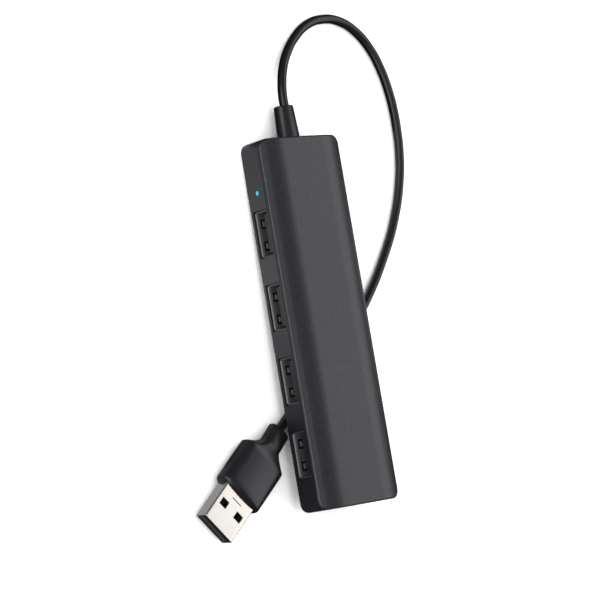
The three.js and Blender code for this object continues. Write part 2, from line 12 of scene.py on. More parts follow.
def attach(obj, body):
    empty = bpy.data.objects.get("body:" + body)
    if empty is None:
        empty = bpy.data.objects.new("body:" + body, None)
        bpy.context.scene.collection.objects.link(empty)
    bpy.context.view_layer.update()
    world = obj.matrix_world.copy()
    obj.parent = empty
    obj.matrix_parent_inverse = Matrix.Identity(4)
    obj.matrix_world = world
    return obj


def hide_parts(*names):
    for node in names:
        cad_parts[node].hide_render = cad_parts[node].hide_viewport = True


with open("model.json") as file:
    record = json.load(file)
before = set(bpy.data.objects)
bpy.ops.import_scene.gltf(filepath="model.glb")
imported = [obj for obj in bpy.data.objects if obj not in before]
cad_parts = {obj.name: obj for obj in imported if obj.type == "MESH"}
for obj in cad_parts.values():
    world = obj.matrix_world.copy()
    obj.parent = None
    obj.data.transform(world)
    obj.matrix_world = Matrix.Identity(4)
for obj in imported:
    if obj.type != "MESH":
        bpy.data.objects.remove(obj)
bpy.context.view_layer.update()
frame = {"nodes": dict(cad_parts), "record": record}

bl_info = {
    "name": "Slim USB hub",
    "version": (1, 0, 0),
    "blender": (4, 5, 0),
    "location": "3D View > Sidebar > USB hub",
    "description": "Builds the case, ports, lead and plug of a slim USB hub",
    "category": "Object",
}

MM = 0.001
BODY = "hub"
PORTS = (1, 2, 3, 4)
PINS = (1, 2, 3, 4)

# Distances in metres: how near counts as lying on a plane, as one point, and as on a cut
ON_WALL = 1e-5
SAME_PLACE = 1e-6
CUT_TOLERANCE = 1e-7

# The case's own axes: X along it, ports at -Y, Z up from its underside.
CASE_HEIGHT = 10.4 * MM
TOP_MOUNT = next(m for m in frame["record"]["mounts"] if m["name"] == "top_face")
CASE_UP = Vector(TOP_MOUNT["axis"])
CASE_TILT = Vector((0, 0, 1)).rotation_difference(CASE_UP).to_matrix().to_4x4()
CASE_PLACE = Matrix.Translation(TOP_MOUNT["pos_m"]) @ CASE_TILT @ Matrix.Translation((0, 0, -CASE_HEIGHT))

# The plug's own axes: X to its tip, Z up, the middle of the grip's front face at the origin.
PLUG_MOUNT = next(m for m in frame["record"]["mounts"] if m["name"] == "plug_face")
PLUG_YAW = math.radians(-49.2)
PLUG_MOUNT_IN_PLUG = Vector((9, 0, 2.25)) * MM
PLUG_PLACE = (
    Matrix.Translation(PLUG_MOUNT["pos_m"])
    @ Matrix.Rotation(PLUG_YAW, 4, "Z")
    @ Matrix.Translation(-PLUG_MOUNT_IN_PLUG)
)

# The lead's centreline, from the strain relief round to the plug's grip, in metres.
CORD_ROUTE = [
    (-0.0629, 0, 0.00427),
    (-0.0662, 0, 0.0041),
    (-0.07, 0.0008, 0.0036),
    (-0.0746, 0.0026, 0.0028),
    (-0.0793, 0.0056, 0.002),
    (-0.084, 0.01, 0.0015),
    (-0.0875, 0.0152, 0.00135),
    (-0.089, 0.0215, 0.00135),
    (-0.0883, 0.0276, 0.00135),
    (-0.0852, 0.0334, 0.00135),
    (-0.0794, 0.0386, 0.00135),
    (-0.0731, 0.0417, 0.00135),
    (-0.067, 0.0435, 0.00135),
    (-0.0608, 0.0445, 0.00135),
    (-0.0547, 0.0448, 0.00135),
    (-0.0486, 0.0446, 0.00135),
    (-0.0396, 0.043, 0.00135),
    (-0.0278, 0.0387, 0.00135),
    (-0.0162, 0.032, 0.00135),
    (-0.0052, 0.0238, 0.00135),
    (0.0035, 0.0154, 0.00135),
    (0.0118, 0.006, 0.00135),
    (0.0192, -0.0036, 0.00145),
    (0.0245, -0.0107, 0.00195),
    (0.0275, -0.0148, 0.00255),
    (0.02917, -0.01702, 0.00297),
]


# Settings a user would change


class CaseSettings(PropertyGroup):
    """Sizes and colour of the two case shells."""

    length: FloatProperty(name="Length", description="Case length", default=107 * MM, unit="LENGTH")
    width: FloatProperty(name="Width", description="Case width", default=30 * MM, unit="LENGTH")
    side_height: FloatProperty(
        name="Side height", description="Height of the long edges", default=8.4 * MM, unit="LENGTH"
    )
    shoulder: FloatProperty(
        name="Shoulder", description="Width of each rounded shoulder", default=8 * MM, unit="LENGTH"
    )
    corner: FloatProperty(name="Corner", description="Plan corner radius", default=2.8 * MM, unit="LENGTH")
    edge: FloatProperty(name="Edge", description="Rounding of the cover", default=0.7 * MM, unit="LENGTH")
    cover_wall: FloatProperty(
        name="Cover wall", description="Thickness of the cover", default=1.3 * MM, unit="LENGTH"
    )
    case_wall: FloatProperty(
        name="Case wall", description="Thickness of the bottom case", default=0.9 * MM, unit="LENGTH"
    )
    colour: StringProperty(name="Colour", description="sRGB hex of the ABS", default="1b1b1e")


class PortSettings(PropertyGroup):
    """Sizes of the port openings in the case wall."""

    first: FloatProperty(name="First port", description="First port's X", default=-26.8 * MM, unit="LENGTH")
    pitch: FloatProperty(name="Pitch", description="Port spacing", default=21.25 * MM, unit="LENGTH")
    height: FloatProperty(name="Height", description="Port middle's Z", default=3.98 * MM, unit="LENGTH")
    mouth_width: FloatProperty(
        name="Mouth width", description="Opening width", default=13.6 * MM, unit="LENGTH"
    )
    mouth_height: FloatProperty(
        name="Mouth height", description="Opening height", default=6.2 * MM, unit="LENGTH"
    )


class CordSettings(PropertyGroup):
    """Sizes and colour of the lead."""

    diameter: FloatProperty(name="Diameter", description="Lead diameter", default=2.7 * MM, unit="LENGTH")
    resolution: IntProperty(name="Resolution", description="Steps round the lead", default=10)
    colour: StringProperty(name="Colour", description="sRGB hex of the jacket", default="08080a")


class PlugSettings(PropertyGroup):
    """Sizes of the plug."""

    shell_width: FloatProperty(
        name="Shell width", description="Metal shell width", default=12 * MM, unit="LENGTH"
    )
    shell_height: FloatProperty(
        name="Shell height", description="Metal shell height", default=4.5 * MM, unit="LENGTH"
    )
    exposed: FloatProperty(
        name="Exposed", description="Shell out of the grip", default=11.75 * MM, unit="LENGTH"
    )


class StageSettings(PropertyGroup):
    """Where the camera stands."""

    distance: FloatProperty(
        name="Distance", description="Camera distance", default=0.74716, unit="LENGTH"
    )
    elevation: FloatProperty(
        name="Elevation", description="Camera elevation", default=math.radians(50.475), subtype="ANGLE"
    )
    azimuth: FloatProperty(
        name="Azimuth", description="Azimuth from +X", default=math.radians(-87.0095), subtype="ANGLE"
    )
    roll: FloatProperty(name="Roll", description="Camera roll", default=math.radians(79.946), subtype="ANGLE")


# Helpers


def linear(hex_colour):
    """An sRGB hex colour as linear RGBA."""
    parts = [int(hex_colour[i : i + 2], 16) / 255 for i in (0, 2, 4)]
    return [c / 12.92 if c <= 0.04045 else ((c + 0.055) / 1.055) ** 2.4 for c in parts] + [1.0]


def add_node(tree, kind, settings=None, **links):
    """Adds a node, sets its attributes and sockets, and links the sockets given."""
    node = tree.nodes.new(kind)
    for key, value in (settings or {}).items():
        if key in node.inputs:
            node.inputs[key].default_value = value
        else:
            setattr(node, key, value)
    for socket, source in links.items():
        tree.links.new(source, node.inputs[socket.replace("_", " ")])
    return node


def material(name, **shader):
    """A material with a Principled shader, whose constants are set on its own sockets."""
    made = bpy.data.materials.new(name)
    made.use_nodes = True
    principled = made.node_tree.nodes["Principled BSDF"]
    for key, value in shader.items():
        principled.inputs[key.replace("_", " ")].default_value = value
    return made, made.node_tree, principled


def new_piece(name, bm, place, made, slot, *nodes, body=BODY, smooth_angle=30):
    """Turns a finished bmesh into an object at the origin, riding on a body in place of CAD nodes."""
    bmesh.ops.transform(bm, matrix=place, verts=bm.verts)
    mesh = bpy.data.meshes.new(name)
    bm.to_mesh(mesh)
    bm.free()
    mesh.materials.append(made)
    obj = bpy.data.objects.new(name, mesh)
    bpy.context.scene.collection.objects.link(obj)
    mesh.shade_smooth()
    mesh.set_sharp_from_angle(angle=math.radians(smooth_angle))
    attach(obj, body)
    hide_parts(*nodes)
    return obj


def clamped(value):
    """The value held between 0 and 1."""
    return min(max(value, 0), 1)


def direction(azimuth, elevation):
    """The unit vector at an azimuth from +X and an elevation, in radians."""
    level = math.cos(elevation)
    return Vector((math.cos(azimuth) * level, math.sin(azimuth) * level, math.sin(elevation)))


def add_modifier(obj, kind, name, **settings):
    """Adds a modifier with its settings."""
    modifier = obj.modifiers.new(name, kind)
    for key, value in settings.items():
        setattr(modifier, key, value)


def break_edges(obj, width):
    """Takes the sharpness off a piece's edges with a small rounding."""
    add_modifier(
        obj,
        "BEVEL",
        "edges",
        width=width,
        segments=2,
        limit_method="ANGLE",
        angle_limit=math.radians(40),
    )


def keep_flats_flat(obj):
    """Weights normals by face area, so that a large flat isn't shaded by the rounding beside it."""
    add_modifier(obj, "WEIGHTED_NORMAL", "flats", keep_sharp=True, weight=100)


def rounded_plate(bm, length, width, radius, z, segments=8):
    """A flat face with round corners, centred on the Z axis. Gives back the face."""
    corners = [(-1, -1), (1, -1), (1, 1), (-1, 1)]
    verts = [bm.verts.new((x * length / 2, y * width / 2, z)) for x, y in corners]
    bm.faces.new(verts)
    bmesh.ops.bevel(
        bm,
        geom=verts,
        offset=radius,
        segments=segments,
        profile=0.5,
        affect="VERTICES",
        material=-1,
    )
    return bm.faces[:][-1]


def extrude_face(bm, face, vector):
    """Draws a face out and leaves the swept walls, with the face moved to the far end."""
    made = bmesh.ops.extrude_face_region(bm, geom=[face], use_keep_orig=True)
    verts = [g for g in made["geom"] if isinstance(g, bmesh.types.BMVert)]
    bmesh.ops.translate(bm, verts=verts, vec=vector)
    return [g for g in made["geom"] if isinstance(g, bmesh.types.BMFace)]


def slice_at(bm, point, normal, wall=None):
    """Cuts the whole form, or only the faces given as its wall, along a plane."""
    if wall is None:
        geometry = [*bm.verts, *bm.edges, *bm.faces]
    else:
        geometry = [*{v for f in wall for v in f.verts}, *{e for f in wall for e in f.edges}, *wall]
    bmesh.ops.bisect_plane(bm, geom=geometry, plane_co=point, plane_no=normal, dist=CUT_TOLERANCE)


def turned_form(profile, steps):
    """A round solid from an outline of (radius, place along Z) points in millimetres."""
    bm = bmesh.new()
    verts = [bm.verts.new((radius * MM, 0, along * MM)) for radius, along in profile]
    edges = [bm.edges.new(pair) for pair in zip(verts, verts[1:])]
    bmesh.ops.spin(
        bm,
        geom=verts + edges,
        axis=(0, 0, 1),
        cent=(0, 0, 0),
        angle=2 * math.pi,
        steps=steps,
        use_merge=True,
    )
    bmesh.ops.remove_doubles(bm, verts=bm.verts[:], dist=SAME_PLACE)
    bmesh.ops.recalc_face_normals(bm, faces=bm.faces[:])
    return bm


def lies_at(face, axis, place):
    """Whether a face lies in the plane at a place along an axis: 0, 1 or 2 for X, Y or Z."""
    return all(abs(v.co[axis] - place) < ON_WALL for v in face.verts)


# Materials

# Black plastics reflect a little blue
COOL = (0.93, 0.95, 1.0, 1)
SOFT_PVC = {"IOR": 1.53, "Specular_Tint": COOL}


def varied_colour(tree, base, spread, noise):
    """A ramp from a little darker to a little lighter than the base, by the noise."""
    ramp = add_node(tree, "ShaderNodeValToRGB", Fac=noise)
    ramp.color_ramp.elements[0].color = [c * (1 - spread) for c in base[:3]] + [1]
    ramp.color_ramp.elements[1].color = [min(c * (1 + spread), 1) for c in base[:3]] + [1]
    return ramp


def moulded_abs():
    """Moulded ABS: spark-eroded mould texture, a fine satin grain that softens reflections."""
    made, tree, shader = material("moulded_abs", Metallic=0.0, IOR=1.52, Specular_Tint=COOL)
    base = linear(bpy.context.scene.hub_case.colour)
    coordinates = add_node(tree, "ShaderNodeTexCoord").outputs["Object"]
    # Grain cells of about 0.9 mm, coarser than the real 0.1 mm so that they show
    cells = {"Scale": 1 / (0.9 * MM), "Detail": 4.0}
    grain = add_node(tree, "ShaderNodeTexNoise", cells, Vector=coordinates).outputs["Fac"]
    # Cloudy variation over about 12 mm
    clouds = {"Scale": 1 / (12 * MM), "Detail": 2.0}
    cloud = add_node(tree, "ShaderNodeTexNoise", clouds, Vector=coordinates).outputs["Fac"]
    shade = varied_colour(tree, base, 0.07, cloud)
    rough = add_node(tree, "ShaderNodeMapRange", {"To Min": 0.2, "To Max": 0.45}, Value=grain)
    bump = add_node(tree, "ShaderNodeBump", {"Strength": 0.6, "Distance": 0.04 * MM}, Height=grain)
    tree.links.new(shade.outputs["Color"], shader.inputs["Base Color"])
    tree.links.new(rough.outputs["Result"], shader.inputs["Roughness"])
    tree.links.new(bump.outputs["Normal"], shader.inputs["Normal"])
    return made


def noisy(name, hex_colour, cell, low, high, bump_depth=0.0, metallic=0.0, spread=0.08, **more):
    """A finish with its colour and roughness varied by a noise of the given cell size in metres."""
    made, tree, shader = material(name, Metallic=metallic, **more)
    base = linear(hex_colour)
    coordinates = add_node(tree, "ShaderNodeTexCoord").outputs["Object"]
    cells = {"Scale": 1 / cell, "Detail": 3.0}
    grain = add_node(tree, "ShaderNodeTexNoise", cells, Vector=coordinates).outputs["Fac"]
    shade = varied_colour(tree, base, spread, grain)
    rough = add_node(tree, "ShaderNodeMapRange", {"To Min": low, "To Max": high}, Value=grain)
    tree.links.new(shade.outputs["Color"], shader.inputs["Base Color"])
    tree.links.new(rough.outputs["Result"], shader.inputs["Roughness"])
    if bump_depth:
        bump = add_node(tree, "ShaderNodeBump", {"Strength": 0.3, "Distance": bump_depth}, Height=grain)
        tree.links.new(bump.outputs["Normal"], shader.inputs["Normal"])
    return made


def lit_lens():
    """Clear acrylic lit from behind: it glows nearly evenly behind a glossy face."""
    made, tree, shader = material("lit_acrylic", Roughness=0.3, IOR=1.49)
    shader.inputs["Base Color"].default_value = linear("0a5a78")
    coordinates = add_node(tree, "ShaderNodeTexCoord").outputs["Object"]
    glow = add_node(tree, "ShaderNodeTexNoise", {"Scale": 1 / (1.2 * MM)}, Vector=coordinates)
    shade = add_node(tree, "ShaderNodeValToRGB", Fac=glow.outputs["Fac"])
    shade.color_ramp.elements[0].color = linear("00b0e0")
    shade.color_ramp.elements[1].color = linear("02c8ff")
    tree.links.new(shade.outputs["Color"], shader.inputs["Emission Color"])
    shader.inputs["Emission Strength"].default_value = 0.85
    return made


# Stage

CAMERA_TARGET = Vector((-6.91, -4.6, 5)) * MM
# Sensor width and focal length in millimetres
CAMERA_SENSOR = 36
CAMERA_LENS = 156.04
CAMERA_NEAR = 10 * MM
# Half the sides of the floor and of the glowing card that stands in for it in reflections, with painted light
# and shade, in metres
FLOOR_HALF = 3.0
REFLECTED_HALF = 0.5
WORLD_STRENGTH = 0.1
OVERHEAD_STRENGTH = 3.1
OVERHEAD_SPREAD = math.radians(100)
# Each box: azimuth from +X and elevation in degrees, distance and sides in metres, power in watts.
# They leave a darker gap overhead, which the top of the case reflects.
SOFTBOXES = {
    "box_back": (92, 40, 1.6, (2.4, 1.0), 14),
    "box_front": (-88, 74, 1.6, (1.5, 0.45), 2.8),
    "box_low_front": (-88, 32, 1.6, (2.4, 0.7), 19),
    "fill_left": (180, 30, 1.8, (1.0, 1.0), 0.4),
}
# The painted floor reflection, painted light and shade that glossy pieces reflect: along X, from a
# little past one end of the case to a little past the other, and the even light that it fades to in
# front of the hub
REFLECTED_REACH = 60 * MM
PAINTED_REFLECTION_STOPS = (
    (0.03, (0.03, 0.03, 0.03, 1)),
    (0.05, (0.6, 0.6, 0.62, 1)),
    (0.4, (1, 1, 1, 1)),
    (0.8, (0.02, 0.02, 0.02, 1)),
)
REFLECTED_FRONT = (-36 * MM, -40 * MM)
PAINTED_REFLECTION_FRONT_LIGHT = (0.4, 0.4, 0.42, 1)


class HUB_OT_stage(Operator):
    """Makes the camera, the floor and the studio light"""

    bl_idname = "hub.stage"
    bl_label = "Stage"

    def execute(self, context):
        self.add_camera(context, context.scene.hub_stage)
        # Paper sweep: matt and near white
        paper = noisy("white_paper", "fbfbfa", cell=4 * MM, low=0.9, high=0.98, spread=0.01)
        floor = self.add_plane(context, "floor", 4, FLOOR_HALF, paper)
        # The paper isn't seen in reflections: a card with a painted floor reflection stands in for it
        floor.visible_glossy = False
        self.add_painted_floor_reflection(context)

        world = bpy.data.worlds.new("studio")
        world.use_nodes = True
        background = world.node_tree.nodes["Background"]
        background.inputs["Color"].default_value = (1, 1, 1, 1)
        background.inputs["Strength"].default_value = WORLD_STRENGTH
        context.scene.world = world
        context.scene.view_settings.view_transform = "Standard"
        for name, box in SOFTBOXES.items():
            self.add_softbox(context, name, *box)
        # Very soft light from overhead whitens the paper; it isn't seen in reflections
        overhead = bpy.data.objects.new("overhead", bpy.data.lights.new("overhead", "SUN"))
        overhead.data.energy = OVERHEAD_STRENGTH
        overhead.data.angle = OVERHEAD_SPREAD
        overhead.visible_glossy = False
        context.scene.collection.objects.link(overhead)
        return {"FINISHED"}

    def add_camera(self, context, settings):
        """A level camera looking at the target, then rolled."""
        camera = bpy.data.objects.new("camera", bpy.data.cameras.new("camera"))
        context.scene.collection.objects.link(camera)
        camera.data.sensor_width = CAMERA_SENSOR
        camera.data.lens = CAMERA_LENS
        camera.data.clip_start = CAMERA_NEAR
        back = direction(settings.azimuth, settings.elevation)
        camera.location = CAMERA_TARGET + back * settings.distance
        camera.rotation_mode = "QUATERNION"
        camera.rotation_quaternion = back.to_track_quat("Z", "Y") @ Quaternion((0, 0, 1), settings.roll)
        context.scene.camera = camera

    def add_plane(self, context, name, segments, half, made):
        """A flat sheet at table level that belongs to the stage."""
        bm = bmesh.new()
        bmesh.ops.create_grid(bm, x_segments=segments, y_segments=segments, size=half)
        mesh = bpy.data.meshes.new(name)
        bm.to_mesh(mesh)
        bm.free()
        mesh.materials.append(made)
        plane = bpy.data.objects.new(name, mesh)
        context.scene.collection.objects.link(plane)
        return plane

    def add_painted_floor_reflection(self, context):
        """A glowing card seen only in reflections, in place of the floor: painted light beside the ports,
        painted shade by the plug's grip.
        """
        glow, tree, shader = material("painted_floor_reflection", Roughness=1.0, Emission_Strength=1)
        shader.inputs["Base Color"].default_value = (0, 0, 0, 1)
        shader.inputs["Specular IOR Level"].default_value = 0
        coordinates = add_node(tree, "ShaderNodeTexCoord").outputs["Object"]
        axes = add_node(tree, "ShaderNodeSeparateXYZ", Vector=coordinates)
        reach = {"From Min": -REFLECTED_REACH, "From Max": REFLECTED_REACH}
        along = add_node(tree, "ShaderNodeMapRange", reach, Value=axes.outputs["X"])
        # Painted reflection: light and shade painted along X, which the glossy pieces reflect
        shade = add_node(tree, "ShaderNodeValToRGB", Fac=along.outputs["Result"])
        stops = shade.color_ramp.elements
        for stop, (position, colour) in zip(stops, (PAINTED_REFLECTION_STOPS[0], PAINTED_REFLECTION_STOPS[-1])):
            stop.position = position
            stop.color = colour
        for position, colour in PAINTED_REFLECTION_STOPS[1:-1]:
            stops.new(position).color = colour
        front = {"From Min": REFLECTED_FRONT[0], "From Max": REFLECTED_FRONT[1]}
        beyond = add_node(tree, "ShaderNodeMapRange", front, Value=axes.outputs["Y"])
        mixed = add_node(tree, "ShaderNodeMix", {"data_type": "RGBA"}, Factor=beyond.outputs["Result"])
        # Sockets 6 and 7 are the mix's two colours, and output 2 is the mixed one
        tree.links.new(shade.outputs["Color"], mixed.inputs[6])
        mixed.inputs[7].default_value = PAINTED_REFLECTION_FRONT_LIGHT
        tree.links.new(mixed.outputs[2], shader.inputs["Emission Color"])
        # The card glows with this painted reflection and is seen only in reflections
        card = self.add_plane(context, "painted_floor_reflection", 1, REFLECTED_HALF, glow)
        card.visible_camera = False
        card.visible_diffuse = False
        card.visible_shadow = False
        card.visible_transmission = False

    def add_softbox(self, context, name, azimuth, elevation, distance, size, power):
        """A rectangular light that faces the hub from an azimuth and elevation in degrees."""
        data = bpy.data.lights.new(name, "AREA")
        data.shape = "RECTANGLE"
        data.size, data.size_y = size
        data.energy = power
        light = bpy.data.objects.new(name, data)
        outward = direction(math.radians(azimuth), math.radians(elevation))
        light.location = outward * distance
        light.rotation_euler = outward.to_track_quat("Z", "Y").to_euler()
        context.scene.collection.objects.link(light)


# Lead

# Steps between two points of the route
CORD_STEPS = 12


class HUB_OT_cord(Operator):
    """Lays the lead along its route on the table"""

    bl_idname = "hub.cord"
    bl_label = "Lead"

    def execute(self, context):
        settings = context.scene.hub_cord
        curve = bpy.data.curves.new("lead", "CURVE")
        curve.dimensions = "3D"
        curve.bevel_depth = settings.diameter / 2
        curve.bevel_resolution = settings.resolution
        curve.use_fill_caps = True
        curve.resolution_u = CORD_STEPS
        spline = curve.splines.new("BEZIER")
        spline.bezier_points.add(len(CORD_ROUTE) - 1)
        for point, place in zip(spline.bezier_points, CORD_ROUTE):
            point.co = place
            point.handle_left_type = "AUTO"
            point.handle_right_type = "AUTO"
        # Extruded PVC jacket: smooth with a soft sheen
        colour = settings.colour
        jacket = noisy(
            "extruded_pvc", colour, cell=1.5 * MM, low=0.3, high=0.38, bump_depth=0.01 * MM, **SOFT_PVC
        )
        curve.materials.append(jacket)
        lead = bpy.data.objects.new("lead", curve)
        context.scene.collection.objects.link(lead)
        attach(lead, BODY)
        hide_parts("cord")
        return {"FINISHED"}


# Case

# How far under the long edges the cover's rim and the bottom case's rim lie
COVER_RIM = 0.85 * MM
CASE_RIM = 1.0 * MM
SHOULDER_STEPS = 16
RIM_SEGMENTS = 5
# A face whose normal rises less than this is a wall
WALL_RISE = 0.1
COVER_EDGE_BREAK = 0.12 * MM
CASE_EDGE_BREAK = 0.15 * MM
# The indicator's lens in the case wall, in the case's own axes, then in millimetres its radius, that
# of the light pipe behind it, and the gap round it
LENS_PLACE = Vector((-38.6, -15, 4.12)) * MM
LENS_RADIUS = 0.72
PIPE_RADIUS = 0.85
LENS_GAP = 0.06
LENS_HOLE_SEGMENTS = 24


def crown_height(y, settings):
    """Height of the case's top over a line at y: flat, then falling in an arc to the edge."""
    drop = CASE_HEIGHT - settings.side_height
    radius = (settings.shoulder**2 + drop**2) / (2 * drop)
    past_flat = max(abs(y) - (settings.width / 2 - settings.shoulder), 0)
    return CASE_HEIGHT - radius + math.sqrt(radius**2 - past_flat**2)


class HUB_OT_cover(Operator):
    """Makes the top cover: a flat middle with rounded shoulders"""

    bl_idname = "hub.cover"
    bl_label = "Top cover"

    def execute(self, context):
        settings = context.scene.hub_case
        base = settings.side_height - COVER_RIM
        bm = bmesh.new()
        face = rounded_plate(bm, settings.length, settings.width, settings.corner, base)
        extrude_face(bm, face, (0, 0, CASE_HEIGHT))
        bmesh.ops.recalc_face_normals(bm, faces=bm.faces[:])
        flat = settings.width / 2 - settings.shoulder
        # The last stretch before the edge stays whole, so that the edge has room for its rounding
        for step in range(SHOULDER_STEPS - 2):
            y = flat + settings.shoulder * step / SHOULDER_STEPS
            slice_at(bm, (0, y, 0), (0, 1, 0))
            slice_at(bm, (0, -y, 0), (0, 1, 0))
        # All that stands clear of the rim is the top, and is brought down to the crown
        for vert in bm.verts:
            if vert.co.z > base + MM:
                vert.co.z = crown_height(vert.co.y, settings)
        below = [f for f in bm.faces if lies_at(f, 2, base)]
        bmesh.ops.delete(bm, geom=below, context="FACES_ONLY")
        bm.normal_update()
        walls = {f for f in bm.faces if abs(f.normal.z) < WALL_RISE}
        shared = [e for e in bm.edges if len(e.link_faces) == 2]
        rim = [e for e in shared if len(walls.intersection(e.link_faces)) == 1]
        bmesh.ops.bevel(
            bm,
            geom=rim,
            offset=settings.edge,
            segments=RIM_SEGMENTS,
            profile=0.5,
            affect="EDGES",
            material=-1,
        )
        cover = new_piece(
            "top_cover_moulding", bm, CASE_PLACE, moulded_abs(), "case", "top_cover", smooth_angle=35
        )
        add_modifier(cover, "SOLIDIFY", "wall", thickness=settings.cover_wall, offset=-1)
        break_edges(cover, COVER_EDGE_BREAK)
        keep_flats_flat(cover)
        return {"FINISHED"}


def open_mouth(bm, x, z, width, height, side):
    """Cuts a rectangle out of the wall at y = side."""
    for point, normal in (
        ((x - width / 2, 0, 0), (1, 0, 0)),
        ((x + width / 2, 0, 0), (1, 0, 0)),
        ((0, 0, z - height / 2), (0, 0, 1)),
        ((0, 0, z + height / 2), (0, 0, 1)),
    ):
        slice_at(bm, point, normal, wall=[f for f in bm.faces if lies_at(f, 1, side)])
    inside = [
        f
        for f in bm.faces
        if lies_at(f, 1, side)
        and abs(f.calc_center_median().x - x) < width / 2
        and abs(f.calc_center_median().z - z) < height / 2
    ]
    bmesh.ops.delete(bm, geom=inside, context="FACES_ONLY")


def round_hole(bm, x, z, radius, side):
    """Cuts a round hole out of the wall at y = side."""
    # A square window is cut first, and its edge is then joined to the hole's rim
    window = 4 * radius
    open_mouth(bm, x, z, window, window, side)
    near = window / 2 + 0.1 * radius
    corners = [
        e
        for e in bm.edges
        if e.is_boundary and all(abs(v.co.x - x) < near and abs(v.co.z - z) < near for v in e.verts)
    ]
    turn = Matrix.Translation((x, side, z)) @ Matrix.Rotation(math.radians(90), 4, "X")
    ring = bmesh.ops.create_circle(bm, segments=LENS_HOLE_SEGMENTS, radius=radius, matrix=turn)["verts"]
    ring_edges = [e for e in bm.edges if all(v in ring for v in e.verts)]
    bmesh.ops.bridge_loops(bm, edges=corners + ring_edges)
    bmesh.ops.recalc_face_normals(bm, faces=bm.faces[:])


class HUB_OT_base(Operator):
    """Makes the bottom case with its port mouths and indicator hole"""

    bl_idname = "hub.base"
    bl_label = "Bottom case"

    def execute(self, context):
        settings = context.scene.hub_case
        ports = context.scene.hub_ports
        top = settings.side_height - CASE_RIM
        side = -settings.width / 2
        bm = bmesh.new()
        # Two plates are bridged, because an extrusion numbers its sides differently from run to run
        # and the cuts for the mouths would follow that
        floor = rounded_plate(bm, settings.length, settings.width, settings.corner, 0)
        lid = rounded_plate(bm, settings.length, settings.width, settings.corner, top)
        bmesh.ops.bridge_loops(bm, edges=floor.edges[:] + lid.edges[:])
        bmesh.ops.recalc_face_normals(bm, faces=bm.faces[:])
        bmesh.ops.delete(bm, geom=[lid], context="FACES_ONLY")
        for index in range(len(PORTS)):
            x = ports.first + index * ports.pitch
            open_mouth(bm, x, ports.height, ports.mouth_width, ports.mouth_height, side)
        round_hole(bm, LENS_PLACE.x, LENS_PLACE.z, (LENS_RADIUS + LENS_GAP) * MM, side)
        case = new_piece(
            "bottom_case_moulding", bm, CASE_PLACE, moulded_abs(), "case", "bottom_case", smooth_angle=35
        )
        add_modifier(
            case, "SOLIDIFY", "wall", thickness=settings.case_wall, offset=-1, use_even_offset=True
        )
        break_edges(case, CASE_EDGE_BREAK)
        keep_flats_flat(case)
        return {"FINISHED"}


# A port's shell, in the port's own axes: X across, Y into the case, Z up, the front lip at the origin
PORT_SETBACK = 0.55 * MM
PORT_DEPTH = 13.1 * MM
PORT_SHEET = 0.3 * MM
PORT_MIDDLE = (12.8 * MM, 5.42 * MM)
PORT_CORNER = 0.75 * MM
LIP_DEPTH = 0.35 * MM
LIP_FLARE = 0.4 * MM
SPRING_X = 3.2 * MM
SPRING_HALF = 0.75 * MM
SPRING_SLOT = 0.65 * MM
SPRING_START = 1.25 * MM
SPRING_END = 6.2 * MM
SPRING_BEND = 0.35 * MM
# Along a spring: its flat root, how far behind its free end the bow's flat top starts and ends, and
# the share of the bend that is left at its tip
SPRING_ROOT = 0.8 * MM
SPRING_BOW = (1.3 * MM, 0.7 * MM)
SPRING_TIP_SHARE = 0.4
FINE_EDGE_BREAK = 0.06 * MM


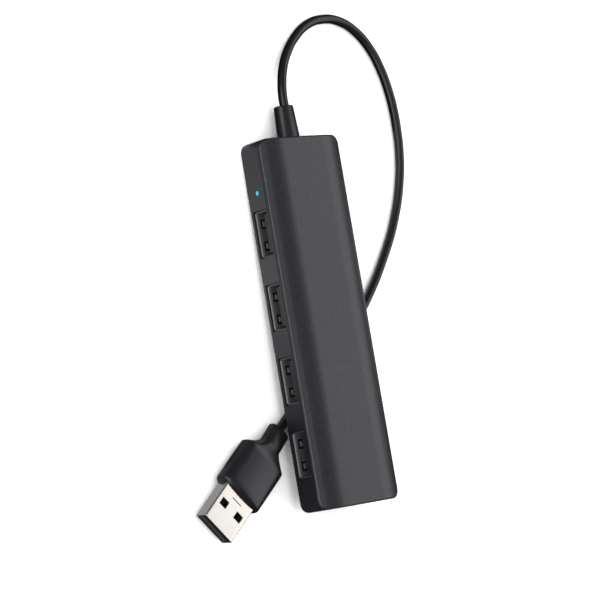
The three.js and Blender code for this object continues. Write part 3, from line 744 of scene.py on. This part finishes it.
class HUB_OT_ports(Operator):
    """Makes the four port shells: folded sheet with flared lips and four retaining springs each"""

    bl_idname = "hub.ports"
    bl_label = "Port shells"

    def execute(self, context):
        ports = context.scene.hub_ports
        side = -context.scene.hub_case.width / 2
        # Matt tin plate on folded steel: a dull grey that takes light from the mouth
        tin = noisy("matt_tin_plate", "7c7c80", cell=0.8 * MM, low=0.34, high=0.46, metallic=0.75)
        for port in PORTS:
            x = ports.first + (port - 1) * ports.pitch
            place = CASE_PLACE @ Matrix.Translation((x, side + PORT_SETBACK, ports.height))
            name = f"port_{port}_shell"
            shell = new_piece(
                f"{name}_sheet", self.shell_form(), place, tin, "port_shell", name, smooth_angle=40
            )
            add_modifier(shell, "SOLIDIFY", "sheet", thickness=PORT_SHEET, offset=0)
            break_edges(shell, FINE_EDGE_BREAK)
        return {"FINISHED"}

    def shell_form(self):
        """The middle of the sheet: an open tube with slots, and a bent spring in each slot."""
        width, height = PORT_MIDDLE
        bm = bmesh.new()
        face = rounded_plate(bm, width, height, PORT_CORNER, 0, segments=6)
        bmesh.ops.transform(bm, matrix=Matrix.Rotation(math.radians(90), 4, "X"), verts=bm.verts[:])
        caps = extrude_face(bm, face, (0, PORT_DEPTH, 0))
        bmesh.ops.delete(bm, geom=[face] + caps, context="FACES_ONLY")
        bmesh.ops.recalc_face_normals(bm, faces=bm.faces[:])
        for depth in (LIP_DEPTH, SPRING_START, SPRING_END):
            slice_at(bm, (0, depth, 0), (0, 1, 0))
        slot_half = SPRING_HALF + SPRING_SLOT
        for x in (-SPRING_X, SPRING_X):
            slice_at(bm, (x - slot_half, 0, 0), (1, 0, 0))
            slice_at(bm, (x + slot_half, 0, 0), (1, 0, 0))
        slots = []
        for f in bm.faces:
            middle = f.calc_center_median()
            in_depth = SPRING_START < middle.y < SPRING_END
            in_width = abs(abs(middle.x) - SPRING_X) < slot_half
            if in_depth and in_width and abs(middle.z) > height / 2 - ON_WALL:
                slots.append(f)
        bmesh.ops.delete(bm, geom=slots, context="FACES_ONLY")
        for vert in bm.verts:
            if vert.co.y < SAME_PLACE:
                vert.co.x *= 1 + LIP_FLARE / width
                vert.co.z *= 1 + LIP_FLARE / height
        for x in (-SPRING_X, SPRING_X):
            for up in (-1, 1):
                self.add_spring(bm, x, up * height / 2, -up)
        return bm

    def add_spring(self, bm, x, z, inward):
        """A strip from the slot's rear edge, bowed into the port near its free end."""
        bow = z + inward * SPRING_BEND
        tip = z + inward * SPRING_BEND * SPRING_TIP_SHARE
        free_end = SPRING_START + SPRING_SLOT
        profile = (
            (SPRING_END, z),
            (SPRING_END - SPRING_ROOT, z),
            (free_end + SPRING_BOW[0], bow),
            (free_end + SPRING_BOW[1], bow),
            (free_end, tip),
        )
        ends = [bm.verts.new((x + half, SPRING_END, z)) for half in (-SPRING_HALF, SPRING_HALF)]
        edge = bm.edges.new(ends)
        for before, after in zip(profile, profile[1:]):
            made = bmesh.ops.extrude_edge_only(bm, edges=[edge])["geom"]
            verts = [g for g in made if isinstance(g, bmesh.types.BMVert)]
            edges = [g for g in made if isinstance(g, bmesh.types.BMEdge)]
            edge = next(e for e in edges if all(v in verts for v in e.verts))
            bmesh.ops.translate(bm, verts=verts, vec=(0, after[0] - before[0], after[1] - before[1]))


# The lens's outline: radius and place in front of the wall's face, in millimetres
LENS_PROFILE = (
    (0, 0),
    (0.4, -0.03),
    (0.62, -0.1),
    (LENS_RADIUS, -0.22),
    (LENS_RADIUS, -0.9),
    (PIPE_RADIUS, -1.05),
    (PIPE_RADIUS, -4.0),
    (0, -4.0),
)


class HUB_OT_lens(Operator):
    """Makes the indicator's lens, the domed front end of the light pipe"""

    bl_idname = "hub.lens"
    bl_label = "Indicator lens"

    def execute(self, context):
        bm = turned_form(LENS_PROFILE, steps=32)
        place = CASE_PLACE @ Matrix.Translation(LENS_PLACE) @ Matrix.Rotation(math.radians(90), 4, "X")
        new_piece("indicator_lens", bm, place, lit_lens(), "led", "light_pipe", smooth_angle=50)
        return {"FINISHED"}


# Strain relief and plug

# The relief's outline: radius, and distance out from the case's end, in millimetres. Its last
# stretch is the collar that holds it behind the wall.
RELIEF_PROFILE = (
    (0, 9.9),
    (2, 9.9),
    (2.38, 9.8),
    (2.53, 9.55),
    (2.92, 0.35),
    (2.97, 0.15),
    (2, 0.15),
    (2, -1.3),
    (2.7, -1.3),
    (2.7, -2.5),
    (0, -2.5),
)
# Its section is wider than high by this much, and its middle stands here on the case's end face
RELIEF_OVAL = 1.2
RELIEF_MIDDLE = (-0.15 * MM, 4.45 * MM)


class HUB_OT_relief(Operator):
    """Makes the tapered strain relief where the lead leaves the case"""

    bl_idname = "hub.relief"
    bl_label = "Strain relief"

    def execute(self, context):
        bm = turned_form(RELIEF_PROFILE, steps=48)
        oval = Matrix.Diagonal((1, RELIEF_OVAL, 1, 1))
        turn = Matrix.Rotation(math.radians(-90), 4, "Y")
        half = context.scene.hub_case.length / 2
        place = CASE_PLACE @ Matrix.Translation((-half, *RELIEF_MIDDLE)) @ oval @ turn
        # Moulded soft PVC: satin, slightly uneven
        skin = noisy(
            "moulded_soft_pvc", "111114", cell=0.5 * MM, low=0.32, high=0.42, bump_depth=0.02 * MM, **SOFT_PVC
        )
        new_piece("strain_relief_moulding", bm, place, skin, "grip", "strain_relief")
        return {"FINISHED"}


# The grip, in millimetres: how far behind its front face its straight part ends, its neck begins
# and its neck ends
GRIP_STRAIGHT = 14.7
GRIP_NECK_START = 19.1
GRIP_END = 25.3
# Half width and half height of the neck, and how much more the straight part has
NECK_HALF_WIDTH = 3.5
NECK_HALF_HEIGHT = 2.8
BODY_EXTRA_WIDTH = 4.3
BODY_EXTRA_HEIGHT = 1.0
# The waist's curve in plan, and how much sooner the height starts to fall than the width
WAIST_POWER = 1.35
HEIGHT_LEAD = 1.5
# Roundings of the front rim and of the neck's end: how much, and over what length
FRONT_ROUNDING = (1.0, 1.4)
END_ROUNDING = (0.5, 0.6)
# The neck sinks towards the table from here on, by this much at its end
NECK_DROP_START = 20
NECK_DROP = 0.8
# Corner radius of the section, at most this share of its half height
GRIP_CORNER = 2.6
GRIP_CORNER_SHARE = 0.9
# How much of its height the section loses at its sides, as its wide faces are crowned
GRIP_CROWN = 0.24
# Lengthwise cuts, one at each millimetre across, that give the crown points to shape
GRIP_CUTS = range(-7, 8)
# Where the sections stand, closer together at the roundings and at the waist
GRIP_FRONT_SECTIONS = (0, 0.15, 0.35, 0.65, 1, 1.4, 3, 5, 7, 9, 11, 13, 13.6, 14.2)
GRIP_WAIST_SECTIONS = (GRIP_STRAIGHT, 15.2, 15.8, 16.4, 17, 17.8, 18.5, GRIP_NECK_START)
GRIP_NECK_SECTIONS = (NECK_DROP_START, 22, 23.5, 24.7, 25, 25.2, GRIP_END)

# A section drawn flat, stood up across the plug's X axis
ACROSS_PLUG = Matrix.Rotation(math.radians(90), 4, "Z") @ Matrix.Rotation(math.radians(90), 4, "X")

# The plug's metal shell: corner radius, length inside the grip, sheet, and its holes along X and Y
SHELL_CORNER = 0.55 * MM
SHELL_INSIDE = 6 * MM
SHELL_SHEET = 0.3 * MM
SLOT_X = (1.76 * MM, 1.98 * MM)
WINDOW_X = (3.85 * MM, 6.1 * MM)
WINDOW_Y = (1.8 * MM, 4.4 * MM)


def grip_rounding(along):
    """How much the section shrinks at the front rim and at the neck's end."""
    front = FRONT_ROUNDING[0] * max(1 - along / FRONT_ROUNDING[1], 0) ** 2
    end = END_ROUNDING[0] * max(1 - (GRIP_END - along) / END_ROUNDING[1], 0) ** 2
    return front + end


def grip_half_width(along):
    """Half the grip's width at a distance behind its front face, in millimetres."""
    waist = clamped((along - GRIP_STRAIGHT) / (GRIP_NECK_START - GRIP_STRAIGHT))
    return NECK_HALF_WIDTH + BODY_EXTRA_WIDTH * (1 - waist) ** WAIST_POWER - grip_rounding(along)


def grip_half_height(along):
    """Half the grip's height at a distance behind its front face, in millimetres."""
    start = GRIP_STRAIGHT - HEIGHT_LEAD
    fall = clamped((along - start) / (GRIP_NECK_START - start))
    share = 0.5 + 0.5 * math.cos(math.pi * fall)
    return NECK_HALF_HEIGHT + BODY_EXTRA_HEIGHT * share - grip_rounding(along)


class HUB_OT_plug(Operator):
    """Makes the plug's moulded grip and metal shell"""

    bl_idname = "hub.plug"
    bl_label = "Plug"

    def execute(self, context):
        self.make_grip()
        self.make_shell(context.scene.hub_plug)
        return {"FINISHED"}

    def make_grip(self):
        """A row of rounded sections, bridged, with its wide faces crowned."""
        bm = bmesh.new()
        rings = []
        for along in GRIP_FRONT_SECTIONS + GRIP_WAIST_SECTIONS + GRIP_NECK_SECTIONS:
            half_height = grip_half_height(along)
            corner = min(GRIP_CORNER, half_height * GRIP_CORNER_SHARE)
            width = 2 * grip_half_width(along)
            face = rounded_plate(bm, width * MM, 2 * half_height * MM, corner * MM, 0)
            drop = NECK_DROP * clamped((along - NECK_DROP_START) / (GRIP_END - NECK_DROP_START))
            place = Matrix.Translation((-along * MM, 0, -drop * MM)) @ ACROSS_PLUG
            verts = face.verts[:]
            bmesh.ops.transform(bm, matrix=place, verts=verts)
            rings.append((face, verts))
        for (_, before), (_, after) in zip(rings, rings[1:]):
            edges = [e for e in bm.edges if any(all(v in ring for v in e.verts) for ring in (before, after))]
            bmesh.ops.bridge_loops(bm, edges=edges)
        bmesh.ops.delete(bm, geom=[face for face, _ in rings[1:-1]], context="FACES_ONLY")
        bmesh.ops.recalc_face_normals(bm, faces=bm.faces[:])
        for y in GRIP_CUTS:
            slice_at(bm, (0, y * MM, 0), (0, 1, 0))
        # The wide faces are crowned, so the middle catches the light and the sides fall dark
        for vert in bm.verts:
            across = abs(vert.co.y) / (grip_half_width(-vert.co.x / MM) * MM)
            vert.co.z *= 1 - GRIP_CROWN * min(across, 1) ** 2
        # Moulded grip PVC: a little glossier than the relief, so its crown shows
        skin = noisy(
            "moulded_grip_pvc", "0c0c0e", cell=0.5 * MM, low=0.3, high=0.4, bump_depth=0.02 * MM, **SOFT_PVC
        )
        new_piece("plug_grip_moulding", bm, PLUG_PLACE, skin, "grip", "plug_grip", smooth_angle=60)

    def make_shell(self, settings):
        """A tube of sheet metal with two windows in each wide face and a slot in the upper one."""
        bm = bmesh.new()
        face = rounded_plate(bm, settings.shell_width, settings.shell_height, SHELL_CORNER, 0, segments=6)
        bmesh.ops.transform(bm, matrix=ACROSS_PLUG, verts=bm.verts[:])
        caps = extrude_face(bm, face, (settings.exposed + SHELL_INSIDE, 0, 0))
        bmesh.ops.translate(bm, verts=bm.verts[:], vec=(-SHELL_INSIDE, 0, 0))
        bmesh.ops.delete(bm, geom=[face] + caps, context="FACES_ONLY")
        bmesh.ops.recalc_face_normals(bm, faces=bm.faces[:])
        for x in SLOT_X + WINDOW_X:
            slice_at(bm, (x, 0, 0), (1, 0, 0))
        for y in (-WINDOW_Y[1], -WINDOW_Y[0], *WINDOW_Y):
            slice_at(bm, (0, y, 0), (0, 1, 0))
        holes = []
        for f in bm.faces:
            x, y, z = f.calc_center_median()
            in_window = WINDOW_X[0] < x < WINDOW_X[1] and WINDOW_Y[0] < abs(y) < WINDOW_Y[1]
            in_slot = SLOT_X[0] < x < SLOT_X[1] and abs(y) < WINDOW_Y[0] and z > 0
            if in_window or in_slot:
                holes.append(f)
        bmesh.ops.delete(bm, geom=holes, context="FACES_ONLY")
        # Bright nickel plate on drawn steel: mirror-like, very slightly uneven
        nickel = noisy(
            "nickel_plate", "d5d1cb", cell=0.6 * MM, low=0.22, high=0.28, metallic=1.0, spread=0.03
        )
        shell = new_piece("plug_shell_metal", bm, PLUG_PLACE, nickel, "nickel", "plug_shell", smooth_angle=40)
        add_modifier(shell, "SOLIDIFY", "sheet", thickness=SHELL_SHEET, offset=-1)
        break_edges(shell, FINE_EDGE_BREAK)
        keep_flats_flat(shell)


# Pieces whose CAD shape stays

# Each finish: colour, cell of its unevenness in millimetres, lowest and highest roughness, metallic
FINISHES = {
    # Moulded PBT of the tongues and the plug's insulator: dull and even
    "moulded_black_pbt": ("1b1b1d", 0.5, 0.45, 0.6, 0.0),
    # Thin gold on the ports' brass springs: bright and smooth
    "gold_flash_brass": ("d6a84a", 0.4, 0.2, 0.32, 1.0),
    # The same gold rubbed through on the plug's pads: brown and duller
    "worn_gold_flash": ("5c4d33", 0.4, 0.3, 0.42, 1.0),
    # Lacquer over the board's copper: green with a soft gloss
    "green_solder_mask": ("1f5a34", 0.7, 0.35, 0.5, 0.0),
    # Moulded epoxy of the chip: dark and matt
    "black_epoxy": ("151517", 0.3, 0.5, 0.65, 0.0),
    # Pressed nickel-plated cans of the crystal and capacitors: bright, slightly uneven
    "nickel_can": ("cfcbc4", 0.6, 0.25, 0.38, 1.0),
}
# Extruded PVC on the wires: each its own plain colour with a soft sheen
WIRE_COLOURS = {"red": "b3201c", "white": "e6e6e2", "green": "1f7a3a", "black": "1b1b1d"}
FINISH_OF = {
    "circuit_board": "green_solder_mask",
    "controller_chip": "black_epoxy",
    "crystal": "nickel_can",
    "capacitor_1": "nickel_can",
    "capacitor_2": "nickel_can",
    "led": "lit_lens",
    "plug_insert": "moulded_black_pbt",
}


class HUB_OT_inner(Operator):
    """Gives the ports, the board and what stands on it their finishes"""

    bl_idname = "hub.inner"
    bl_label = "Ports and inner parts"

    def execute(self, context):
        made = {
            name: noisy(name, colour, cell * MM, low, high, metallic=metallic)
            for name, (colour, cell, low, high, metallic) in FINISHES.items()
        }
        for shade, colour in WIRE_COLOURS.items():
            made[f"wire_{shade}"] = noisy(f"pvc_insulation_{shade}", colour, 0.6 * MM, 0.35, 0.5)
        made["lit_lens"] = lit_lens()
        uses = dict(FINISH_OF)
        for port in PORTS:
            uses[f"port_{port}_tongue"] = "moulded_black_pbt"
            for pin in PINS:
                uses[f"port_{port}_contact_{pin}"] = "gold_flash_brass"
        for pin in PINS:
            uses[f"plug_contact_{pin}"] = "worn_gold_flash"
        for shade in WIRE_COLOURS:
            uses[f"wire_{shade}"] = f"wire_{shade}"
        for node, finish in uses.items():
            mesh = frame["nodes"][node].data
            mesh.materials.clear()
            mesh.materials.append(made[finish])
        return {"FINISHED"}


class HUB_PT_panel(Panel):
    """Lists the operators that build the hub"""

    bl_idname = "HUB_PT_panel"
    bl_label = "USB hub"
    bl_space_type = "VIEW_3D"
    bl_region_type = "UI"
    bl_category = "USB hub"

    def draw(self, context):
        for operator in OPERATORS:
            self.layout.operator(operator.bl_idname)


SETTINGS = {
    "hub_case": CaseSettings,
    "hub_ports": PortSettings,
    "hub_cord": CordSettings,
    "hub_plug": PlugSettings,
    "hub_stage": StageSettings,
}
OPERATORS = (
    HUB_OT_stage,
    HUB_OT_relief,
    HUB_OT_plug,
    HUB_OT_cord,
    HUB_OT_cover,
    HUB_OT_base,
    HUB_OT_ports,
    HUB_OT_lens,
    HUB_OT_inner,
)


def register():
    for cls in (*SETTINGS.values(), *OPERATORS, HUB_PT_panel):
        bpy.utils.register_class(cls)
    for name, cls in SETTINGS.items():
        setattr(bpy.types.Scene, name, PointerProperty(type=cls))


def unregister():
    for name in SETTINGS:
        delattr(bpy.types.Scene, name)
    for cls in reversed((*SETTINGS.values(), *OPERATORS, HUB_PT_panel)):
        bpy.utils.unregister_class(cls)


def main():
    register()
    bpy.ops.hub.stage()
    bpy.ops.hub.relief()
    bpy.ops.hub.plug()
    bpy.ops.hub.cord()
    bpy.ops.hub.cover()
    bpy.ops.hub.base()
    bpy.ops.hub.ports()
    bpy.ops.hub.lens()
    bpy.ops.hub.inner()


if __name__ == "__main__":
    main()
